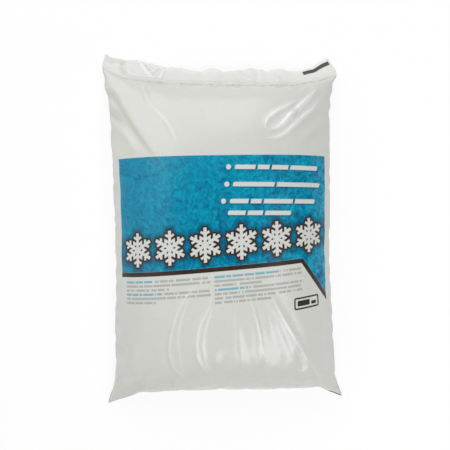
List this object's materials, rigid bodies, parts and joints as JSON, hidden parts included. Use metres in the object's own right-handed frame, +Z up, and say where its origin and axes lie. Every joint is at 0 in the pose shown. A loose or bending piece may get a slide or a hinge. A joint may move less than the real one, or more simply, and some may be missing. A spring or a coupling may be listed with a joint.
{
  "type": "sack of de-icing salt",
  "caption": "Sealed plastic sack of loose de-icing salt lying on its back, with heat-welded ends and a loose top skirt that folds up at the weld.",
  "frame": {"origin": "on the floor under the middle of the sack's bounding box", "axes": "+X across the sack, +Y along it to the welded top end with the loose skirt, +Z up from the floor through its thickness, printed front upwards"},
  "size_m": [0.45, 0.6523, 0.1178],
  "materials": {
    "film": "white blown polythene film, soft gloss, printed on its front",
    "weld": "heat-sealed band, both plies fused",
    "salt": "loose dry rock salt grains"
  },
  "bodies": {
    "sack": {"sack_tube": "film", "salt_fill": "salt", "top_weld": "weld", "top_skirt_front": "film", "top_skirt_back": "film", "bottom_weld": "weld", "bottom_skirt_front": "film", "bottom_skirt_back": "film"},
    "top_flap": {"top_flap_front": "film", "top_flap_back": "film"}
  },
  "joints": [
    {"name": "top_flap_fold", "type": "hinge", "parent": "sack", "child": "top_flap", "pos_m": [0, 0.29704, 0.01663], "axis": [1, 0, 0], "range_deg": [0, 140]}
  ]
}
